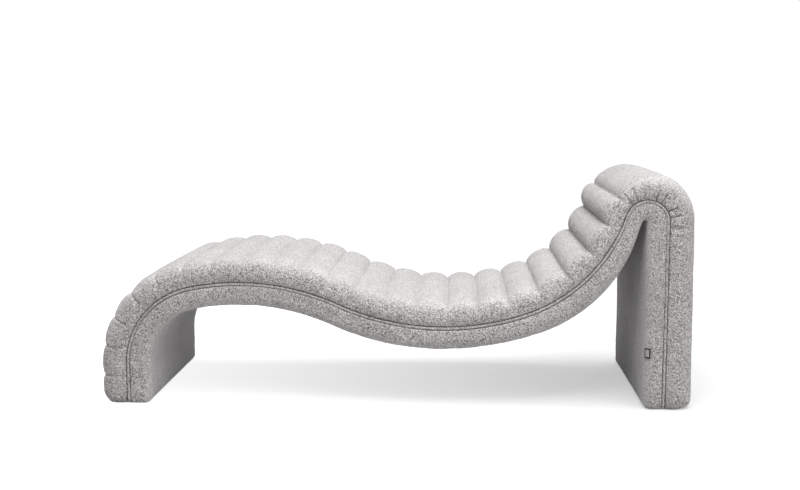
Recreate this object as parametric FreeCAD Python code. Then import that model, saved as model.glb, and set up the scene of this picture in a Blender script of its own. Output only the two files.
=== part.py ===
import FreeCAD, Part
import math
import os
from collections import namedtuple

# Chaise longue in millimetres. +X runs from the foot to the head and +Z is up. The floor is at
# Z = 0 and the origin lies under the middle of the whole. The near side is -Y, the far side +Y.
# Heights in the body are measured square to the side seam line, positive towards the sitter.

# Side seam line, from the floor at the foot over the body to the floor at the head.
# A positive turn goes to the left, towards the sitter.
FOOT_LEG_RISE = 134.0
KNEE_RADIUS = 260.0
KNEE_TURN = -77.6
CALF_REST_RADIUS = 798.0
CALF_REST_TURN = -36.4
SEAT_RADIUS = 849.0
SEAT_TURN = 41.9
BACK_RADIUS = 520.0
BACK_TURN = 54.0
HEAD_RADIUS = 66.0

# Across the body
WIDTH = 700.0
SEAM_DRAW = 4.0
COVER_SIDE_WALL = 21.0

# Under face of the body, below the seam line
UNDER_DEPTH = 71.0
HEAD_LEG_DEPTH = 63.0
UNDER_RUN_ON = 24.0
SLIT_ANGLE = 72.0
SLIT_RADIUS = 8.0
SLIT_DEPTH = 60.0
UNDER_EDGE_RADIUS = 25.0
UNDER_HEM_RADIUS = 12.0
UNDER_WALL = 15.0
UNDER_DRAW = 1.5

# Channels of the quilted cover, spaced along a line this far above the seam line
PITCH_HEIGHT = 80.0
CHANNEL_PITCH = 99.5
FIRST_STITCH = 94.0
LAST_STITCH_REACH = 100.0
CROWN_FOOT = 98.0
CROWN_FRONT = 92.0
CROWN_HEAD = 86.0
FOOT_TAPER = 300.0
CROWN_TAPER_BEFORE_BACK = 175.0
CROWN_TAPER_INTO_BACK = 90.0
STITCH_FOOT = 86.0
STITCH_FRONT = 79.0
STITCH_HEAD = 60.0
STITCH_TAPER_BEFORE_BACK = 420.0
STITCH_TAPER_INTO_BACK = 240.0
CHANNEL_SHARES = (0.2, 0.5, 0.8)
CHANNEL_ROUNDNESS = 2.2
SHOULDER_RADIUS = 50.0
STITCH_SHOULDER_RADIUS = 38.0
STITCH_DRAW = 6.0
CROWN_DOME = 3.0
STITCH_DOME = 2.0

# Plain roll over the head, plain back of the head leg, and the hems at the floor
HEAD_ROLL_RISE = 50.0
HEAD_ROLL_CROWN = 75.0
HEAD_TOP_CROWN = 95.0
HEAD_ROLL_STEPS = 6
HEAD_LEG_CROWN = 92.0
HEAD_FOOT_CROWN = 97.0
FOOT_HEM_CROWN = 81.0
HEAD_HEM_CROWN = 81.0
HEAD_HEM_HEIGHT = 24.0
HEM_SHARES = (0.6, 1.0)
HEM_DRAW = 12.0

# Side seam, with its allowance turned in
SEAM_WIDTH = 12.0
SEAM_STANDS_PROUD = 1.4

# Layers between the two covers
COVER_INNER = 52.0
FOAM_INNER = 24.0
TOP_SKIN = 6.0
BOTTOM_SKIN = 5.0
SIDE_FRAME = 18.0
SOFT_GAP = 0.3

# Cross rails between the two sides of the frame
RAIL_THICKNESS = 18.0
RAIL_DEPTH = 40.0
RAIL_GAP = 1.0
RAIL_END = 100.0
RAIL_PITCH = 240.0

# Bases of the two legs
COVER_LIFT = 4.0
DUST_COVER = 1.0
DUST_COVER_MARGIN = 3.0
BASE_BOARD = 18.0
BLOCK = 36.0
GLIDE_RADIUS = 14.0
GLIDE_SPREAD = 240.0

# Blank label on the near edge of the head leg's inner face
TAG_WIDTH = 24.0
TAG_HEIGHT = 33.0
TAG_THICKNESS = 1.0
TAG_BOTTOM = 172.0

Vector = FreeCAD.Vector
Straight = namedtuple("Straight", "length")
Bend = namedtuple("Bend", "radius turn")

# Runs of the seam line before each stretch, and how near a point counts as on an edge
RUNS_TO_CALF_REST = 2
RUNS_TO_BACK = 4
RUNS_TO_HEAD = 5
RUNS_TO_HEAD_LEG = 6
FOUND_WITHIN = 0.01


def length_of(run):
    """Length of one straight or bend."""
    if isinstance(run, Straight):
        return run.length
    return run.radius * math.radians(abs(run.turn))


def advance(place, run, distance):
    """The place (x, z, heading) reached after a distance along a run that begins at place."""
    x, z, heading = place
    if isinstance(run, Straight):
        return (x + distance * math.cos(heading), z + distance * math.sin(heading), heading)
    side = math.copysign(1.0, run.turn)
    turned = heading + side * distance / run.radius
    reach = side * run.radius
    return (
        x + reach * (math.sin(turned) - math.sin(heading)),
        z - reach * (math.cos(turned) - math.cos(heading)),
        turned,
    )


def raised(place, height):
    """The point (x, z) at a height to the left of a place."""
    x, z, heading = place
    return (x - height * math.sin(heading), z + height * math.cos(heading))


class Path:
    """Straights and tangent bends in the XZ plane, from a first place on."""

    def __init__(self, place, runs):
        self.place = place
        self.runs = list(runs)

    def places(self):
        """The place where each run begins, and last the place where the path ends."""
        found = [self.place]
        for run in self.runs:
            found.append(advance(found[-1], run, length_of(run)))
        return found

    def length(self, runs=None):
        """Length of the first runs, or of the whole path."""
        return sum(length_of(run) for run in self.runs[:runs])

    def at(self, distance):
        """The place at a distance along the path."""
        place = self.place
        for run in self.runs[:-1]:
            if distance <= length_of(run):
                return advance(place, run, distance)
            distance -= length_of(run)
            place = advance(place, run, length_of(run))
        return advance(place, self.runs[-1], distance)

    def offset(self, height):
        """The parallel path at a height to the left."""
        runs = []
        for run in self.runs:
            if isinstance(run, Bend):
                side = math.copysign(1.0, run.turn)
                run = Bend(run.radius - side * height, run.turn)
            runs.append(run)
        return Path(raised(self.place, height) + (self.place[2],), runs)

    def lifted(self, lift):
        """The same path with both its upright ends stopped above the floor."""
        x, z, heading = self.place
        first = Straight(self.runs[0].length - lift)
        last = Straight(self.runs[-1].length - lift)
        return Path((x, z + lift, heading), [first] + self.runs[1:-1] + [last])

    def middles(self):
        """The middle point (x, z) of each run."""
        return [
            advance(place, run, length_of(run) / 2.0)[:2]
            for place, run in zip(self.places(), self.runs)
        ]

    def edges(self, y):
        """The path's edges in the plane at y."""
        made = []
        places = self.places()
        for begin, middle, end, run in zip(places, self.middles(), places[1:], self.runs):
            first = Vector(begin[0], y, begin[1])
            last = Vector(end[0], y, end[1])
            if isinstance(run, Straight):
                made.append(Part.LineSegment(first, last).toShape())
            else:
                made.append(Part.Arc(first, Vector(middle[0], y, middle[1]), last).toShape())
        return made


def seam_line():
    """The side seam line, placed so that the whole chaise is centred over the origin."""
    upright = math.radians(90.0)
    runs = [
        Straight(FOOT_LEG_RISE),
        Bend(KNEE_RADIUS, KNEE_TURN),
        Bend(CALF_REST_RADIUS, CALF_REST_TURN),
        Bend(SEAT_RADIUS, SEAT_TURN),
        Bend(BACK_RADIUS, BACK_TURN),
    ]
    heading = 90.0 + KNEE_TURN + CALF_REST_TURN + SEAT_TURN + BACK_TURN
    runs.append(Bend(HEAD_RADIUS, -90.0 - heading))
    head = Path((0.0, 0.0, upright), runs).places()[-1]
    runs.append(Straight(head[1]))
    foot_x = -(head[0] + HEAD_FOOT_CROWN - CROWN_FOOT) / 2.0
    return Path((foot_x, 0.0, upright), runs)


def under_line(seam):
    """Outline of the under face: parallel to the seam line as far as the seat, straight on, then
    its own bend up the back, a straight to the slit, the slit's round end and the head leg's
    inner face."""
    parallel = seam.offset(-UNDER_DEPTH)
    body = parallel.runs[:RUNS_TO_BACK]
    body.append(Straight(UNDER_RUN_ON))
    begin_x, begin_z, begin = Path(parallel.place, body).places()[-1]
    head_x = seam.places()[-1][0]
    head_top = seam.places()[-2][1] + HEAD_RADIUS
    slit = math.radians(SLIT_ANGLE)
    centre_x = head_x - HEAD_LEG_DEPTH - SLIT_RADIUS
    centre_z = head_top - SLIT_DEPTH - SLIT_RADIUS
    meets_x, meets_z = raised((centre_x, centre_z, slit), SLIT_RADIUS)
    stand_off = (meets_z - begin_z) * -math.cos(slit) + (meets_x - begin_x) * math.sin(slit)
    back_radius = stand_off / (1.0 - math.cos(slit - begin))
    body.append(Bend(back_radius, math.degrees(slit - begin)))
    end_x, end_z, _ = Path(parallel.place, body).places()[-1]
    body.append(Straight(math.hypot(meets_x - end_x, meets_z - end_z)))
    body.append(Bend(SLIT_RADIUS, -90.0 - SLIT_ANGLE))
    body.append(Straight(centre_z))
    return Path(parallel.place, body)


def band(upper, lower, low, high, lift):
    """Solid between two paths, from y = low to y = high, with its ends lifted off the floor."""
    top = upper.lifted(lift).edges(low)
    under = lower.lifted(lift).edges(low)
    foot = Part.LineSegment(under[0].Vertexes[0].Point, top[0].Vertexes[0].Point).toShape()
    head = Part.LineSegment(top[-1].Vertexes[-1].Point, under[-1].Vertexes[-1].Point).toShape()
    outline = Part.Wire(top + [head] + under[::-1] + [foot])
    return Part.Face(outline).extrude(Vector(0.0, high - low, 0.0))


def block(x_low, x_high, y_low, y_high, z_low, z_high):
    """Box between two corners."""
    size = (x_high - x_low, y_high - y_low, z_high - z_low)
    return Part.makeBox(*size, Vector(x_low, y_low, z_low))


def ramp(distance, begins, ends, first, last):
    """A size that goes evenly from first to last between two distances."""
    share = min(max((distance - begins) / (ends - begins), 0.0), 1.0)
    return first + share * (last - first)


SEAM = seam_line()
UNDER = under_line(SEAM)
PITCH_LINE = SEAM.offset(PITCH_HEIGHT)
CALF_REST_BEGINS = PITCH_LINE.length(RUNS_TO_CALF_REST)
BACK_BEGINS = PITCH_LINE.length(RUNS_TO_BACK)
HEAD_BEGINS = PITCH_LINE.length(RUNS_TO_HEAD)
HEAD_LEG_BEGINS = PITCH_LINE.length(RUNS_TO_HEAD_LEG)
FOOT_X = SEAM.place[0]
HEAD_X = SEAM.places()[-1][0]

COVER_HALF = WIDTH / 2.0
SEAM_HALF = COVER_HALF - SEAM_DRAW
UNDER_HALF = COVER_HALF - UNDER_DRAW
CORE_HALF = COVER_HALF - COVER_SIDE_WALL
FRAME_HALF = CORE_HALF - SOFT_GAP
FRAME_TOP = FOAM_INNER - TOP_SKIN
FRAME_UNDER = UNDER_WALL + SOFT_GAP + BOTTOM_SKIN
INNER_LIFT = COVER_LIFT + DUST_COVER
FRAME_LIFT = INNER_LIFT + BASE_BOARD


def crown_height(distance):
    """Height of a channel's crown at a distance along the pitch line."""
    if distance < CALF_REST_BEGINS:
        begins = CALF_REST_BEGINS - FOOT_TAPER
        return ramp(distance, begins, CALF_REST_BEGINS, CROWN_FOOT, CROWN_FRONT)
    begins = BACK_BEGINS - CROWN_TAPER_BEFORE_BACK
    ends = BACK_BEGINS + CROWN_TAPER_INTO_BACK
    return ramp(distance, begins, ends, CROWN_FRONT, CROWN_HEAD)


def stitch_height(distance):
    """Height of the stitched line between two channels at a distance along the pitch line."""
    if distance < CALF_REST_BEGINS:
        begins = CALF_REST_BEGINS - FOOT_TAPER
        return ramp(distance, begins, CALF_REST_BEGINS, STITCH_FOOT, STITCH_FRONT)
    begins = BACK_BEGINS - STITCH_TAPER_BEFORE_BACK
    ends = BACK_BEGINS + STITCH_TAPER_INTO_BACK
    return ramp(distance, begins, ends, STITCH_FRONT, STITCH_HEAD)


def cover_section(distance, crown, flank, shoulder, dome, seam_half=SEAM_HALF):
    """Closed section of the quilted cover, square to the body: up one flank, round the shoulder,
    over the crown and down again, with a straight edge along the seam line."""
    place = PITCH_LINE.at(distance)

    def spot(y, height):
        x, z = raised(place, height - PITCH_HEIGHT)
        return Vector(x, y, z)

    edge = crown - dome
    waist = edge - shoulder
    inner = flank - shoulder
    shoulder_out = shoulder * math.cos(math.radians(45.0))
    sides = []
    for side in (1.0, -1.0):
        flank_line = Part.LineSegment(spot(side * seam_half, 0.0), spot(side * flank, waist))
        shoulder_arc = Part.Arc(
            spot(side * flank, waist),
            spot(side * (inner + shoulder_out), waist + shoulder_out),
            spot(side * inner, edge),
        )
        sides.append([flank_line.toShape(), shoulder_arc.toShape()])
    top = Part.Arc(spot(inner, edge), spot(0.0, crown), spot(-inner, edge)).toShape()
    bottom = Part.LineSegment(spot(-seam_half, 0.0), spot(seam_half, 0.0)).toShape()
    return Part.Wire([bottom] + sides[0] + [top] + sides[1][::-1])


def stitch_lines():
    """Distances of the stitched lines along the pitch line, up to the head roll."""
    room = HEAD_BEGINS + LAST_STITCH_REACH - FIRST_STITCH
    count = int(room / CHANNEL_PITCH) + 1
    return [FIRST_STITCH + number * CHANNEL_PITCH for number in range(count)]


def padded_section(distance, valley, crown, fullness, hem=0.0):
    """Section of the cover that stands a share of the way, fullness, from the valley along a
    stitched line to the crown beside it. At a hem its flanks are drawn in by a further share."""
    height = valley + fullness * (crown - valley)
    drawn = (1.0 - fullness) * STITCH_DRAW + hem * HEM_DRAW
    shoulder = STITCH_SHOULDER_RADIUS + fullness * (SHOULDER_RADIUS - STITCH_SHOULDER_RADIUS)
    dome = STITCH_DOME + fullness * (CROWN_DOME - STITCH_DOME)
    seam_half = SEAM_HALF - hem * HEM_DRAW
    return cover_section(distance, height, COVER_HALF - drawn, shoulder, dome, seam_half)


def fullness_at(share):
    """How full a channel stands at a share of its way from one stitched line to the next."""
    return 1.0 - abs(2.0 * share - 1.0) ** CHANNEL_ROUNDNESS


def foot_channel():
    """Sections of the lowest channel of the foot, from its hem to below the first stitched line."""
    sections = [padded_section(COVER_LIFT, FOOT_HEM_CROWN, CROWN_FOOT, 0.0, 1.0)]
    for share in CHANNEL_SHARES:
        distance = COVER_LIFT + share * (FIRST_STITCH - COVER_LIFT)
        fullness = fullness_at(share)
        low_half = share < 0.5
        valley = FOOT_HEM_CROWN if low_half else STITCH_FOOT
        hem = 1.0 - fullness if low_half else 0.0
        sections.append(padded_section(distance, valley, CROWN_FOOT, fullness, hem))
    return sections


def channel(begin, end):
    """Sections of a channel, from one stitched line to below the next."""
    crown = crown_height((begin + end) / 2.0)
    sections = []
    for share in (0.0,) + CHANNEL_SHARES:
        distance = begin + share * (end - begin)
        valley = stitch_height(distance)
        sections.append(padded_section(distance, valley, crown, fullness_at(share)))
    return sections


def head_roll(begin):
    """Sections of the plain roll over the head, from the last stitched line on."""
    sections = []
    for share in (0.0, CHANNEL_SHARES[0]):
        distance = begin + 2.0 * share * HEAD_ROLL_RISE
        fullness = fullness_at(share)
        sections.append(padded_section(distance, STITCH_HEAD, HEAD_ROLL_CROWN, fullness))
    rolled = begin + HEAD_ROLL_RISE
    top = HEAD_ROLL_STEPS / 2
    for step in range(HEAD_ROLL_STEPS + 1):
        distance = ramp(step, 0, HEAD_ROLL_STEPS, rolled, HEAD_LEG_BEGINS)
        crown = ramp(step, 0, top, HEAD_ROLL_CROWN, HEAD_TOP_CROWN)
        if step > top:
            crown = ramp(step, top, HEAD_ROLL_STEPS, HEAD_TOP_CROWN, HEAD_LEG_CROWN)
        sections.append(padded_section(distance, STITCH_HEAD, crown, 1.0))
    return sections


def head_hem():
    """Sections of the hem of the head leg, a quarter round from its top down to the floor."""
    ends = PITCH_LINE.length() - COVER_LIFT
    sections = [padded_section(ends - HEAD_HEM_HEIGHT, STITCH_HEAD, HEAD_FOOT_CROWN, 1.0)]
    for share in HEM_SHARES:
        distance = ends - (1.0 - share) * HEAD_HEM_HEIGHT
        hem = 1.0 - math.sqrt(1.0 - share**2)
        crown = HEAD_FOOT_CROWN - hem * (HEAD_FOOT_CROWN - HEAD_HEM_CROWN)
        sections.append(padded_section(distance, STITCH_HEAD, crown, 1.0, hem))
    return sections


def channel_cover():
    """The quilted cover: a rounded channel from one stitched line to the next, the plain head
    roll, the plain back of the head leg, and hems drawn in at both ends."""
    lines = stitch_lines()
    sections = foot_channel()
    for begin, end in zip(lines, lines[1:]):
        sections += channel(begin, end)
    sections += head_roll(lines[-1]) + head_hem()
    whole = Part.makeLoft(sections, True, True)
    below = SEAM.offset(-SEAM_WIDTH)
    core = band(SEAM.offset(COVER_INNER), below, -CORE_HALF, CORE_HALF, -SEAM_WIDTH)
    seam_room = band(SEAM.offset(SEAM_WIDTH / 2.0), below, -WIDTH, WIDTH, -SEAM_WIDTH)
    return whole.cut([core, seam_room])


def edges_along(solid, path, y):
    """The edges of a solid that lie on a path in the plane at y."""
    wanted = [Vector(x, y, z) for x, z in path.middles()]
    found = []
    for edge in solid.Edges:
        middle = edge.valueAt((edge.FirstParameter + edge.LastParameter) / 2.0)
        if any(middle.distanceToPoint(point) < FOUND_WITHIN for point in wanted):
            found.append(edge)
    return found


def hem_edges(shell):
    """The edges at the floor of both legs, apart from the two along the seam line."""
    found = []
    for edge in shell.Edges:
        box = edge.BoundBox
        at_floor = box.ZMax < COVER_LIFT + FOUND_WITHIN
        from_seam = min(abs(box.Center.x - FOOT_X), abs(box.Center.x - HEAD_X))
        if at_floor and from_seam > SEAM_WIDTH / 2.0 + FOUND_WITHIN:
            found.append(edge)
    return found


def under_cover():
    """The plain cover of the under face and lower flanks, rounded along its under edges, and open
    where the frame and padding fill it."""
    shell = band(SEAM.offset(-SEAM_WIDTH / 2.0), UNDER, -UNDER_HALF, UNDER_HALF, COVER_LIFT)
    under_edges = []
    for y in (-UNDER_HALF, UNDER_HALF):
        under_edges += edges_along(shell, UNDER.lifted(COVER_LIFT), y)
    shell = shell.makeFillet(UNDER_EDGE_RADIUS, under_edges)
    shell = shell.makeFillet(UNDER_HEM_RADIUS, hem_edges(shell))
    core = band(SEAM, UNDER.offset(UNDER_WALL), -CORE_HALF, CORE_HALF, 0.0)
    return shell.cut(core)


def side_seam(side):
    """The seam between the two covers on one flank, with its allowance turned in."""
    reach = SEAM_WIDTH / 2.0 - SOFT_GAP
    low, high = sorted((side * (CORE_HALF + SOFT_GAP), side * (SEAM_HALF + SEAM_STANDS_PROUD)))
    return band(SEAM.offset(reach), SEAM.offset(-reach), low, high, COVER_LIFT)


def side_frame(side):
    """One plywood side of the frame, cut to the profile of the whole body."""
    low, high = sorted((side * (FRAME_HALF - SIDE_FRAME), side * FRAME_HALF))
    return band(SEAM.offset(FRAME_TOP), UNDER.offset(FRAME_UNDER), low, high, FRAME_LIFT)


def cross_rails(begins, ends):
    """The rails that join the two sides of the frame between two distances along the seam line,
    square to the body and evenly spaced."""
    half = FRAME_HALF - SIDE_FRAME
    top = FRAME_TOP - RAIL_GAP
    spaces = max(round((ends - begins) / RAIL_PITCH), 1)
    rails = []
    for number in range(spaces + 1):
        x, z, heading = SEAM.at(begins + number * (ends - begins) / spaces)
        rail = block(
            -RAIL_THICKNESS / 2.0, RAIL_THICKNESS / 2.0, -half, half, top - RAIL_DEPTH, top
        )
        rail.rotate(Vector(0.0, 0.0, 0.0), Vector(0.0, -1.0, 0.0), math.degrees(heading))
        rail.translate(Vector(x, 0.0, z))
        rails.append(rail)
    return Part.makeCompound(rails)


def leg_span(name):
    """The x range of a leg's frame, from its sitter's side to its inner side, ordered."""
    if name == "foot":
        return (FOOT_X - FRAME_TOP, FOOT_X + UNDER_DEPTH - FRAME_UNDER)
    return (HEAD_X - HEAD_LEG_DEPTH + FRAME_UNDER, HEAD_X + FRAME_TOP)


def leg_middle(name):
    """The x in the middle of a leg's frame."""
    return sum(leg_span(name)) / 2.0


def glides(name):
    """The round glides under one leg, on its dust cover."""
    places = [Vector(leg_middle(name), y, 0.0) for y in (-GLIDE_SPREAD, 0.0, GLIDE_SPREAD)]
    pads = [Part.makeCylinder(GLIDE_RADIUS, COVER_LIFT, place) for place in places]
    return Part.makeCompound(pads)


def base_board(name):
    """The board that closes a leg's frame at the floor."""
    low, high = leg_span(name)
    return block(low, high, -FRAME_HALF, FRAME_HALF, INNER_LIFT, FRAME_LIFT)


def dust_cover(name):
    """The thin cloth under a leg, inside the hems of the two covers."""
    outer = COVER_INNER - DUST_COVER_MARGIN
    hidden = UNDER_WALL + DUST_COVER_MARGIN
    low, high = (FOOT_X - outer, FOOT_X + UNDER_DEPTH - hidden)
    if name == "head":
        low, high = (HEAD_X - HEAD_LEG_DEPTH + hidden, HEAD_X + outer)
    half = CORE_HALF - DUST_COVER_MARGIN
    return block(low, high, -half, half, COVER_LIFT, INNER_LIFT)


def corner_blocks(name):
    """Three-cornered glue blocks between a leg's base board and the sides of the frame."""
    blocks = []
    low = leg_middle(name) - BLOCK / 2.0
    for side in (-1.0, 1.0):
        corner = Vector(low, side * (FRAME_HALF - SIDE_FRAME), FRAME_LIFT)
        inward = corner + Vector(0.0, -side * BLOCK, 0.0)
        upward = corner + Vector(0.0, 0.0, BLOCK)
        face = Part.Face(Part.makePolygon([corner, inward, upward, corner]))
        blocks.append(face.extrude(Vector(BLOCK, 0.0, 0.0)))
    return Part.makeCompound(blocks)


def blank_tag():
    """A bare woven label that follows the rounded near edge of the head leg's inner face."""
    centre_x = HEAD_X - HEAD_LEG_DEPTH + UNDER_EDGE_RADIUS
    centre_y = -UNDER_HALF + UNDER_EDGE_RADIUS
    inner = UNDER_EDGE_RADIUS + SOFT_GAP
    outer = inner + TAG_THICKNESS
    spread = TAG_WIDTH / outer / 2.0

    def spot(radius, angle):
        x = centre_x + radius * math.cos(angle)
        y = centre_y + radius * math.sin(angle)
        return Vector(x, y, TAG_BOTTOM)

    facing = math.radians(225.0)
    ends = (facing - spread, facing + spread)
    outline = Part.Wire(
        [
            Part.Arc(spot(inner, ends[0]), spot(inner, facing), spot(inner, ends[1])).toShape(),
            Part.LineSegment(spot(inner, ends[1]), spot(outer, ends[1])).toShape(),
            Part.Arc(spot(outer, ends[1]), spot(outer, facing), spot(outer, ends[0])).toShape(),
            Part.LineSegment(spot(outer, ends[0]), spot(inner, ends[0])).toShape(),
        ]
    )
    return Part.Face(outline).extrude(Vector(0.0, 0.0, TAG_HEIGHT))


def top_foam():
    """Foam over the frame, under the channels."""
    upper = SEAM.offset(COVER_INNER - SOFT_GAP)
    lower = SEAM.offset(FOAM_INNER + SOFT_GAP)
    return band(upper, lower, -FRAME_HALF, FRAME_HALF, INNER_LIFT)


def top_skin():
    """Bent plywood over the frame."""
    return band(SEAM.offset(FOAM_INNER), SEAM.offset(FRAME_TOP), -FRAME_HALF, FRAME_HALF, INNER_LIFT)


def bottom_skin():
    """Bent plywood under the frame."""
    upper = UNDER.offset(FRAME_UNDER)
    lower = UNDER.offset(UNDER_WALL + SOFT_GAP)
    return band(upper, lower, -FRAME_HALF, FRAME_HALF, INNER_LIFT)


def pieces():
    """Every sub-part by its name."""
    made = {
        "channel_cover": channel_cover(),
        "under_cover": under_cover(),
        "side_seam_near": side_seam(-1.0),
        "side_seam_far": side_seam(1.0),
        "top_foam": top_foam(),
        "top_skin": top_skin(),
        "bottom_skin": bottom_skin(),
        "side_frame_near": side_frame(-1.0),
        "side_frame_far": side_frame(1.0),
        "foot_leg_rails": cross_rails(RAIL_END, SEAM.length(1)),
        "body_rails": cross_rails(SEAM.length(2), SEAM.length(RUNS_TO_HEAD) - RAIL_END),
        "head_leg_rails": cross_rails(
            SEAM.length(RUNS_TO_HEAD_LEG) + RAIL_END, SEAM.length() - RAIL_END
        ),
        "blank_tag": blank_tag(),
    }
    for name in ("foot", "head"):
        made[name + "_base_board"] = base_board(name)
        made[name + "_corner_blocks"] = corner_blocks(name)
        made[name + "_dust_cover"] = dust_cover(name)
        made[name + "_glides"] = glides(name)
    return made


os.makedirs("parts", exist_ok=True)
for node, shape in pieces().items():
    shape.exportStep("parts/" + node + ".step")
    print(node, len(shape.Solids), shape.isValid(), round(shape.Volume / 1e6, 3), "litres")
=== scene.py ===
"""Looks of a wave-shaped upholstered chaise longue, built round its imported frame.

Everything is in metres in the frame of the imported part: +X runs from the foot to the head, +Z is up, the
near side is -Y and the floor is at Z = 0. Heights in the body are measured square to the side seam line,
positive towards the sitter.
"""

import logging
import math
from dataclasses import dataclass
from enum import Enum, IntEnum

import bpy
import numpy as np
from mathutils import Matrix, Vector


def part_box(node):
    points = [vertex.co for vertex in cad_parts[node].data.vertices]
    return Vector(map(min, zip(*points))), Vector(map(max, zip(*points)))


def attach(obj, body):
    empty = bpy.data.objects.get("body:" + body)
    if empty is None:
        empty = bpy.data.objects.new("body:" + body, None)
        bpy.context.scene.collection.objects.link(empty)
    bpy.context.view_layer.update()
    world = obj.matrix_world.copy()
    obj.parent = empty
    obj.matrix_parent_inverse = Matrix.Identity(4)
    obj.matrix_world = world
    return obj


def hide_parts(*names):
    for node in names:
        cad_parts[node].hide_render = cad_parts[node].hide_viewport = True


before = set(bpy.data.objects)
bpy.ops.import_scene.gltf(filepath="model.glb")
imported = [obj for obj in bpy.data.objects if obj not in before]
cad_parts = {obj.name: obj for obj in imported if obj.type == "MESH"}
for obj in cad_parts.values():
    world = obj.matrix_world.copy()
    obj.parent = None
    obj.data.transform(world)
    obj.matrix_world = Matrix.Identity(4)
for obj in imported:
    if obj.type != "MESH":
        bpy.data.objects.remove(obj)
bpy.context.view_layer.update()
BODY = "root"
LOG = logging.getLogger("chaise")

Colour = tuple[float, float, float, float]


class Side(Enum):
    """Side of the chaise, by the sign of its Y."""

    NEAR = -1.0
    FAR = 1.0


class Leg(Enum):
    """Leg of the chaise, by the first word of its nodes' names."""

    FOOT = "foot"
    HEAD = "head"


class Run(IntEnum):
    """Run of the seam line and its parallels, in their order from the foot to the head."""

    FOOT = 0
    KNEE = 1
    CALF_REST = 2
    SEAT = 3
    BACK = 4
    ROLL = 5
    HEAD_LEG = 6


@dataclass(frozen=True)
class Straight:
    """A straight run of a path."""

    length: float

    def advance(self, place: np.ndarray, distances: np.ndarray) -> np.ndarray:
        """Follows the run.

        Args:
            place: Where the run begins, as x, z and heading.
            distances: Distances along the run.

        Returns:
            One place for each distance.
        """
        x, z, heading = place
        ahead = np.full_like(distances, heading)
        return np.stack(
            [x + distances * math.cos(heading), z + distances * math.sin(heading), ahead], axis=-1
        )

    def offset(self, height: float) -> "Straight":
        """The parallel run at a height, which is as long."""
        return self


@dataclass(frozen=True)
class Bend:
    """A bend of a path. A positive turn, in degrees, goes to the left."""

    radius: float
    turn: float

    @property
    def length(self) -> float:
        """Length of the bend."""
        return self.radius * math.radians(abs(self.turn))

    def advance(self, place: np.ndarray, distances: np.ndarray) -> np.ndarray:
        """Follows the bend.

        Args:
            place: Where the bend begins, as x, z and heading.
            distances: Distances along the bend.

        Returns:
            One place for each distance.
        """
        x, z, heading = place
        reach = math.copysign(self.radius, self.turn)
        turned = heading + distances / reach
        return np.stack(
            [
                x + reach * (np.sin(turned) - math.sin(heading)),
                z - reach * (np.cos(turned) - math.cos(heading)),
                turned,
            ],
            axis=-1,
        )

    def offset(self, height: float) -> "Bend":
        """The parallel bend at a height to the left."""
        return Bend(self.radius - math.copysign(1.0, self.turn) * height, self.turn)


def raised(places: np.ndarray, heights: np.ndarray | float) -> tuple[np.ndarray, np.ndarray]:
    """The x and z of points at heights to the left of places, which end in x, z and heading."""
    x, z, heading = places[..., 0], places[..., 1], places[..., 2]
    return x - heights * np.sin(heading), z + heights * np.cos(heading)


@dataclass(frozen=True)
class Path:
    """Straights and tangent bends in the XZ plane, from a first place (x, z, heading) on."""

    start: tuple[float, float, float]
    runs: tuple[Straight | Bend, ...]

    def ends(self) -> np.ndarray:
        """Distance at which each run begins, and last the length of the whole."""
        return np.concatenate([[0.0], np.cumsum([run.length for run in self.runs])])

    def at(self, distances: np.ndarray) -> np.ndarray:
        """Places along the path.

        Args:
            distances: Distances from the path's start.

        Returns:
            An array of places, with x, z and heading in the last axis.
        """
        ends = self.ends()
        number = np.clip(np.searchsorted(ends, distances, side="right") - 1, 0, len(self.runs) - 1)
        found = np.empty((len(distances), 3))
        place = np.array(self.start)
        for index, run in enumerate(self.runs):
            chosen = number == index
            found[chosen] = run.advance(place, distances[chosen] - ends[index])
            place = run.advance(place, np.array([run.length]))[0]
        return found

    def last(self) -> np.ndarray:
        """The place where the path ends."""
        return self.at(self.ends()[-1:])[0]

    def offset(self, height: float) -> "Path":
        """The parallel path at a height to the left."""
        x, z = raised(np.array(self.start), height)
        return Path((float(x), float(z), self.start[2]), tuple(run.offset(height) for run in self.runs))


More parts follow.
